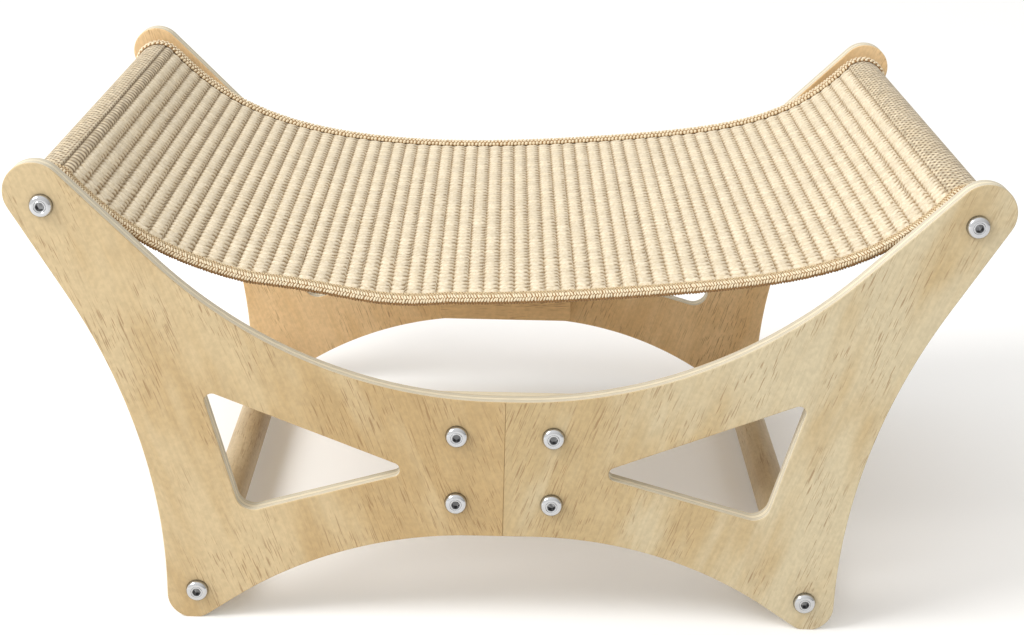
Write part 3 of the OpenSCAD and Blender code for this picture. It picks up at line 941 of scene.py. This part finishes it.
def sleeve_path():
    """Middle line of the right sleeve's cloth from its seam to its tail, and its outward directions."""
    angles = np.linspace(SEAM_ANGLE + SEAM_LAP, TAIL_ANGLE, SLEEVE_ARC_STEPS)
    outward = ray(angles, 1).T
    loop = TOP_AXIS + outward * (SLEEVE_INNER + SLEEVE_OUTER) / 2
    runs = np.linspace(0, POCKET_LENGTH - SLEEVE_THICKNESS, TAIL_STEPS + 1)[1:]
    tail = loop[-1] + runs[:, None] * ray(TAIL_ANGLE - 90, 1)
    tail_outward = np.repeat(outward[-1:], TAIL_STEPS, axis=0)
    return np.concatenate([loop, tail]), np.concatenate([outward, tail_outward])


def sleeve_relief(runs):
    """Height of a sleeve's outer face: a padded hem beside the mat, a stitched groove and a ridge."""
    swell = HEM_SWELL * np.sin(math.pi * np.clip(runs / HEM, 0, 1)) ** HEM_FULLNESS
    groove = GROOVE_SINK * np.exp(-(((runs - GROOVE_RUN) / GROOVE_SPREAD) ** 2))
    ridge = RIDGE_RISE * np.exp(-(((runs - RIDGE_RUN) / RIDGE_SPREAD) ** 2))
    return swell - HEM_SINK * (runs < HEM) - groove + ridge


def sleeve_piece(name, side, hemmed, material):
    """A sleeve round an upper crossbar, open along its seam, with or without a padded hem."""
    path, outward = sleeve_path()
    runs = runs_along(path)
    fade = np.minimum(1, np.minimum(runs, runs[-1] - runs) / SLEEVE_FADE)
    swell = (SLEEVE_THICKNESS / 2 - SLEEVE_SKIN) * np.sqrt(1 - (1 - fade) ** 2 * SLEEVE_LIP_SHARE)
    outer = path + outward * (swell + hemmed * sleeve_relief(runs))[:, None]
    inner = path - outward * swell[:, None]
    loop = np.concatenate([outer, inner[::-1]])
    ys = np.linspace(-SLEEVE_REACH, SLEEVE_REACH, SLEEVE_LENGTH_STEPS + 1)[:, None]
    points = stacked(side * loop[:, 0], ys, loop[:, 1])
    piece = new_piece(name, points, shell_faces(numbered(points), side), [material])
    loop_runs = np.concatenate([runs, runs[::-1]])
    hem = 1 - ease(loop_runs, HEM - HEM_BLEND, HEM + HEM_BLEND)
    set_attribute(piece, "cloth", stacked(loop_runs, ys, hem))
    return piece


# Bindings
FRONT_BINDING_TOP = 0.0014
REAR_BINDING_TOP = 0.0034
REAR_RIM_DROP = 0.0024
REAR_SLEEVE_RIM_DROP = 0.0013
RIM_SHARES = ((1, 1), (0.88, 0.35), (0.72, 0), (0.5, 0), (0.25, 0))
LOWER_SHARES = (0.25, 0.5, 0.75, 1)
BINDING_LOW = 0.0031
BINDING_WIDTH = 0.0064
BINDING_LOWER_WIDTH = 0.0060
BINDING_CORNER = 0.0014
BINDING_THICKNESS = 0.0008
BINDING_WAVE = 0.00018
FRONT_SLEEVE_TOP = 0.0027
REAR_SLEEVE_TOP = 0.0032
SLEEVE_BINDING_LOW = 0.0017
SLEEVE_BINDING_LOWER_WIDTH = 0.0017
SLEEVE_EASE_IN = 0.004
SLEEVE_EASE_OUT = 0.003
BINDING_STEP = 0.0015
EDGE_POINTS = 260
CORNER_STEPS = 5
STITCH_PITCH = 0.0015
STITCH_LENGTH = 0.0026
STITCH_WIDTH = 0.00125
STITCH_HEIGHT = 0.0009
STITCH_SHIFT = 0.0001
STITCH_AHEAD = 0.0004
STITCH_LEAN = 24
STITCH_LEAN_SPREAD = 8
STITCH_SIZE_SHARE = 0.08
FRONT_ROWS = (0.0010, 0.0032, 0.0057, 0.0078, 0.0096)
FRONT_KINDS = (0, 0, 1, 1, 2)
REAR_ROWS = (0.0012, 0.0036, 0.0062, 0.0090)
REAR_KINDS = (1, 1, 1, 1)
REAR_STITCH_SCALE = 1.6
STITCH_SEEDS = {"front": 11, "rear": 12}
BEAN_BELTS = np.array([-45, 0, 45])
BEAN_SIDES = 6


def edge_path():
    """Runs along the line that a binding follows, with its points, upward directions and shares on a sleeve.

    The line goes along the left sleeve from its tail, the mat, and the right sleeve to its tail.
    """
    path, outward = sleeve_path()
    middle, normal = mat_line(np.linspace(-1, 1, EDGE_POINTS))
    points = np.concatenate([(path * [-1, 1])[::-1], middle[1:-1], path])
    ups = np.concatenate([(outward * [-1, 1])[::-1], normal[1:-1], outward])
    runs = runs_along(points)
    even = np.linspace(0, runs[-1], round(runs[-1] / BINDING_STEP) + 1)
    seam = MAT_LENGTH / 2
    on_sleeve = ease(np.abs(even - runs[-1] / 2), seam - SLEEVE_EASE_IN, seam + SLEEVE_EASE_OUT)
    return even, sampled(even, runs, points), unit(sampled(even, runs, ups)), on_sleeve


def binding_sizes(facing, on_sleeve):
    """A binding section's top, low side, lower width and rim drop, at a share of the way onto a sleeve."""
    tops, drops = (FRONT_BINDING_TOP, FRONT_SLEEVE_TOP), (0, 0)
    if facing < 0:
        tops, drops = (REAR_BINDING_TOP, REAR_SLEEVE_TOP), (REAR_RIM_DROP, REAR_SLEEVE_RIM_DROP)
    lows = (BINDING_LOW, SLEEVE_BINDING_LOW)
    widths = (BINDING_LOWER_WIDTH, SLEEVE_BINDING_LOWER_WIDTH)
    return [mat + (sleeve - mat) * on_sleeve for mat, sleeve in (tops, lows, widths, drops)]


def binding_section(top, low, lower_width, rim_drop):
    """Outer line of a binding's section, from its upper to its lower side.

    Points are (distance in from the edge, height). The upper side's rim bends down to the mat by a drop.
    """
    corner = BINDING_CORNER
    span = BINDING_WIDTH - corner
    rim = [(corner + span * share, top - rim_drop * drop_share) for share, drop_share in RIM_SHARES]
    upper = [(corner, top - corner) + ray(angle, corner) for angle in np.linspace(90, 180, CORNER_STEPS)]
    lower = [(corner, corner - low) + ray(angle, corner) for angle in np.linspace(180, 270, CORNER_STEPS)]
    back = [(corner + (lower_width - corner) * share, -low) for share in LOWER_SHARES]
    return np.array([*rim, *upper, (0, (top - low) / 2), *lower, *back])


def binding_rows(facing):
    """Runs along a binding and the points of its section at each, with y as at the front.

    The front binding waves.
    """
    even, points, ups, on_sleeve = edge_path()
    rows = []
    for place, up, share in zip(points, ups, on_sleeve):
        section = binding_section(*binding_sizes(facing, share))
        flat = place + section[:, 1:] * up
        rows.append(stacked(flat[:, 0], section[:, 0] - MAT_EDGE, flat[:, 1]))
    rows = np.array(rows)
    if facing > 0:
        rows[..., 2] += edge_wave(rows[..., 0] / MAT_HALF, rows[..., 1])
    return even, rows


def binding_piece(name, facing, material):
    """A tape folded over the edge of the mat and its sleeves."""
    even, rows = binding_rows(facing)
    out = unit(np.cross(np.gradient(rows, axis=0), np.gradient(rows, axis=1)))
    if (out * (rows - rows.mean(axis=1, keepdims=True))).sum() < 0:
        out = -out
    wave = BINDING_WAVE * np.cos(2 * math.pi * even * RIB_COUNT / MAT_LENGTH)
    rows = rows + out * wave[:, None, None]
    inner = rows - out * BINDING_THICKNESS
    loops = np.concatenate([rows, inner[:, ::-1]], axis=1) * [1, facing, 1]
    return new_piece(name, loops, shell_faces(numbered(loops), facing), [material])


def bean_shape():
    """Points and faces of one rounded stitch of length one, lying along x."""
    belts = []
    for belt in BEAN_BELTS:
        reach, girth = ray(belt, 1)[::-1]
        for angle in np.arange(BEAN_SIDES) * 360 / BEAN_SIDES:
            belts.append((reach, *ray(angle, girth)))
    points = np.array(belts + [(-1, 0, 0), (1, 0, 0)]) / 2
    faces = ring_faces(0, BEAN_SIDES, len(BEAN_BELTS))
    first, last = len(belts), len(belts) + 1
    top = first - BEAN_SIDES
    for i in range(BEAN_SIDES):
        j = (i + 1) % BEAN_SIDES
        faces.append((first, j, i))
        faces.append((last, top + i, top + j))
    return points, faces


def beans(name, centres, along, across, out, sizes, materials):
    """Small rounded stitches, each with its own directions and its length, width and height."""
    shape, pattern = bean_shape()
    scaled = shape * sizes[:, None, :]
    points = centres[:, None] + scaled[..., :1] * along[:, None]
    points = points + scaled[..., 1:2] * across[:, None] + scaled[..., 2:] * out[:, None]
    flips = (np.cross(along, across) * out).sum(axis=1) < 0
    faces = []
    for i, flip in enumerate(flips):
        placed = [[i * len(shape) + corner for corner in face] for face in pattern]
        faces += flipped(placed) if flip else placed
    return new_piece(name, points, faces, materials)


def spun(along, across, angles):
    """A direction turned by angles from along towards across."""
    turn = np.radians(angles)[:, None]
    return along * np.cos(turn) + across * np.sin(turn)


def binding_stitches(name, facing, seed, materials):
    """Rows of overlock stitches round a binding, leaning to and fro, each row with its own material."""
    generator = np.random.default_rng(seed)
    even, rows = binding_rows(facing)
    row_places, row_kinds, scale = FRONT_ROWS, FRONT_KINDS, 1
    if facing < 0:
        row_places, row_kinds, scale = REAR_ROWS, REAR_KINDS, REAR_STITCH_SCALE
    pitch = STITCH_PITCH * scale
    centres, along, across, leans, kinds = [], [], [], [], []
    for number, (row_place, kind) in enumerate(zip(row_places, row_kinds)):
        odd = number % 2
        places = np.arange(pitch * (1 + odd) / 2, even[-1] - pitch, pitch)
        for place in places + generator.normal(0, STITCH_SHIFT, len(places)):
            step = place / even[-1] * (len(rows) - 1)
            low = int(step)
            line = rows[low] + (rows[low + 1] - rows[low]) * (step - low)
            spot, ahead = sampled([row_place, row_place + STITCH_AHEAD], runs_along(rows[low]), line)
            centres.append(spot)
            along.append(unit(ahead - spot))
            across.append(unit((rows[low + 1] - rows[low]).mean(axis=0)))
            leans.append(STITCH_LEAN * (1 - 2 * odd))
            kinds.append(kind)
    centres, along, across = np.array(centres), np.array(along), np.array(across)
    out = np.cross(across, along)
    leans = leans + generator.normal(0, STITCH_LEAN_SPREAD, len(leans))
    sizes = np.array([STITCH_LENGTH, STITCH_WIDTH * scale, STITCH_HEIGHT * scale])
    sizes = sizes * generator.normal(1, STITCH_SIZE_SHARE, (len(centres), 3))
    lines = (centres, spun(along, across, leans), spun(across, -along, leans), out)
    piece = beans(name, *(line * [1, facing, 1] for line in lines), sizes, materials)
    faces_each = len(piece.data.polygons) // len(kinds)
    piece.data.polygons.foreach_set("material_index", np.repeat(kinds, faces_each))
    return piece


def sleeve_stitches(name, side, run, material):
    """A row of stitches along a sleeve, at a run from its seam."""
    path, outward = sleeve_path()
    runs = runs_along(path)
    away = unit(sampled(run, runs, outward))
    spot = sampled(run, runs, path) + away * (SLEEVE_THICKNESS / 2 - SEAM_STITCH_SINK)
    reach = MAT_EDGE - BINDING_WIDTH - SEAM_PITCH
    ys = np.arange(-reach, reach, SEAM_PITCH)
    centres = stacked(side * spot[0], ys, spot[1])
    along = np.tile([0, 1, 0], (len(ys), 1))
    out = np.tile([side * away[0], 0, away[1]], (len(ys), 1))
    sizes = np.tile([SEAM_PITCH * SEAM_STITCH_SHARE, SEAM_STITCH_WIDTH, SEAM_STITCH_HEIGHT], (len(ys), 1))
    return beans(name, centres, along, np.cross(out, along), out, sizes, [material])


# Scene
CAMERA_PLACE = Vector((-0.0053, -1.0185, 0.4913))
CAMERA_TILT = 20.43
CAMERA_YAW = 0.49
CAMERA_ROLL = 1.47
CAMERA_REACH = 100
FOCAL_PIXELS = 1800
IMAGE_WIDTH = 1024
SENSOR = 36
FLOOR_SIZE = 6
FLOOR_TINT = colour(242, 242, 242)
FLOOR_GLOW = 0.06
KEY_PLACE = Vector((-1.55, -0.75, 1.60))
KEY_AIM = Vector((0, 0, 0.12))
KEY_SIZE = 1.0
KEY_POWER = 31
KEY_TINT = (1.0, 0.99, 0.97)
SKY_DIM = 0.28
SKY_BRIGHT = 1.28
SKY_WARM = (1.0, 0.98, 0.94, 1)
SKY_WHITE = (1.0, 1.0, 1.0, 1)


def add_camera():
    data = bpy.data.cameras.new("camera")
    data.sensor_width = SENSOR
    data.lens = SENSOR * FOCAL_PIXELS / IMAGE_WIDTH
    data.clip_end = CAMERA_REACH
    camera = add_object("camera", data)
    place = Matrix.Translation(CAMERA_PLACE)
    for angle, axis in ((-CAMERA_YAW, "Z"), (90 - CAMERA_TILT, "X"), (CAMERA_ROLL, "Z")):
        place = place @ Matrix.Rotation(math.radians(angle), 4, axis)
    camera.matrix_world = place
    bpy.context.scene.camera = camera


def add_key_light():
    data = bpy.data.lights.new("key", "AREA")
    data.shape = "DISK"
    data.size = KEY_SIZE
    data.energy = KEY_POWER
    data.color = KEY_TINT
    light = add_object("key", data)
    light.location = KEY_PLACE
    light.rotation_euler = (KEY_AIM - KEY_PLACE).to_track_quat("-Z", "Y").to_euler()


def add_world():
    """A soft sky that is brightest and whitest towards the key light."""
    tree = Tree("world", "worlds")
    place = tree.node("TexCoord").outputs["Generated"]
    lean = tree.node("VectorMath", place, KEY_PLACE.normalized(), operation="DOT_PRODUCT").outputs["Value"]
    strength = tree.node("MapRange", lean, -1, 1, SKY_DIM, SKY_BRIGHT).outputs[0]
    share = tree.node("MapRange", lean).outputs[0]
    tint = tree.blend(share, SKY_WARM, SKY_WHITE)
    bpy.context.scene.world = tree.surface("Background", Strength=strength, Color=tint)


def add_floor():
    tree = Tree("floor")
    rough = tree.spread(tree.noise(tree.place(), 300), 0, 1, 0.6, 0.7)
    material = tree.surface(
        Base_Color=FLOOR_TINT, Roughness=rough, Specular_IOR_Level=0.1,
        Emission_Color=SKY_WHITE, Emission_Strength=FLOOR_GLOW,
    )
    corners = [(x * FLOOR_SIZE, y * FLOOR_SIZE, 0) for x, y in ((-1, -1), (1, -1), (1, 1), (-1, 1))]
    new_piece("floor", corners, [(0, 1, 2, 3)], [material])


def dress(piece, body, node=None):
    """Put a piece on its body, in the stead of a CAD node if it has one."""
    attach(piece, body)
    if node:
        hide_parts(node)


add_camera()
add_world()
add_key_light()
add_floor()

# Side frames
SIDES = {"left": -1, "right": 1}
FRAMES = {"front": -1, "rear": 1}
edge = ply_edge()
plate_face = ply_face("plywood_plate", 90, *SHADE_BROWN)
for frame_name, out in FRAMES.items():
    inside = out * FRAME_HALF
    thickness = out * PLY
    for side_name, side in SIDES.items():
        place_name = f"{frame_name}_{side_name}"
        face = ply_face(f"plywood_{place_name}", -side * GRAIN_LEAN, *PANEL_TINTS[place_name])
        ys = (inside, inside + thickness)
        panel = board(f"{place_name}_panel_board", panel_loops(), ys, side, [face, edge])
        dress(panel, "hammock", f"{place_name}_panel")
    ys = (inside - thickness, inside)
    plate = board(f"{frame_name}_splice_board", plate_loops(), ys, 1, [plate_face, edge])
    dress(plate, "hammock", f"{frame_name}_splice_plate")

# Crossbars, bolts and inserts
dowel = dowel_wood()
brass = insert_brass()
steel = turned_steel()
for name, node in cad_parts.items():
    if name.endswith(("_rod", "_inserts")):
        node.data.materials.clear()
        node.data.materials.append(dowel if name.endswith("_rod") else brass)
for frame_name, out in FRAMES.items():
    places = [(place[0] * side, place[1], out) for place in splice_places() for side in SIDES.values()]
    bolts = bolt_set(f"{frame_name}_splice_bolts_turned", places, 2 * PLY, steel)
    dress(bolts, "hammock", f"{frame_name}_splice_bolts")
for side_name, side in SIDES.items():
    for level, axis in (("top", TOP_AXIS), ("bottom", BOTTOM_AXIS)):
        rod = f"{side_name}_{level}_rod"
        places = [(axis[0] * side, axis[1], out) for out in FRAMES.values()]
        bolts = bolt_set(f"{rod}_bolts_turned", places, PLY + INSERT_LENGTH, steel)
        dress(bolts, rod, f"{rod}_bolts")

# Mat and sleeves
mat = mat_piece(mat_cloth())
dress(mat, "hammock", "mat")
seam_yarns = {
    "left": thread("ridge_yarn", colour(232, 219, 192)),
    "right": thread("seam_yarn", colour(140, 112, 72)),
}
for side_name, side in SIDES.items():
    hemmed = side < 0
    canvas = canvas_cloth(f"{side_name}_canvas", hemmed)
    sleeve = sleeve_piece(f"{side_name}_canvas_sleeve", side, hemmed, canvas)
    dress(sleeve, "hammock", f"{side_name}_sleeve")
    seam_run = RIDGE_RUN if hemmed else SEAM_RUN
    seam = sleeve_stitches(f"{side_name}_sleeve_stitches", side, seam_run, seam_yarns[side_name])
    dress(seam, "hammock")

# Bindings
tape = thread("binding_tape", colour(154, 120, 80))
yarns = [
    thread("flange_yarn", colour(204, 183, 146)),
    thread("face_yarn", colour(231, 215, 185)),
    thread("edge_yarn", colour(142, 107, 66)),
]
for frame_name, out in FRAMES.items():
    facing = -out
    binding = binding_piece(f"{frame_name}_binding_tape", facing, tape)
    dress(binding, "hammock", f"{frame_name}_binding")
    stitches = binding_stitches(f"{frame_name}_binding_stitches", facing, STITCH_SEEDS[frame_name], yarns)
    dress(stitches, "hammock")

bpy.context.scene.view_settings.view_transform = "Standard"
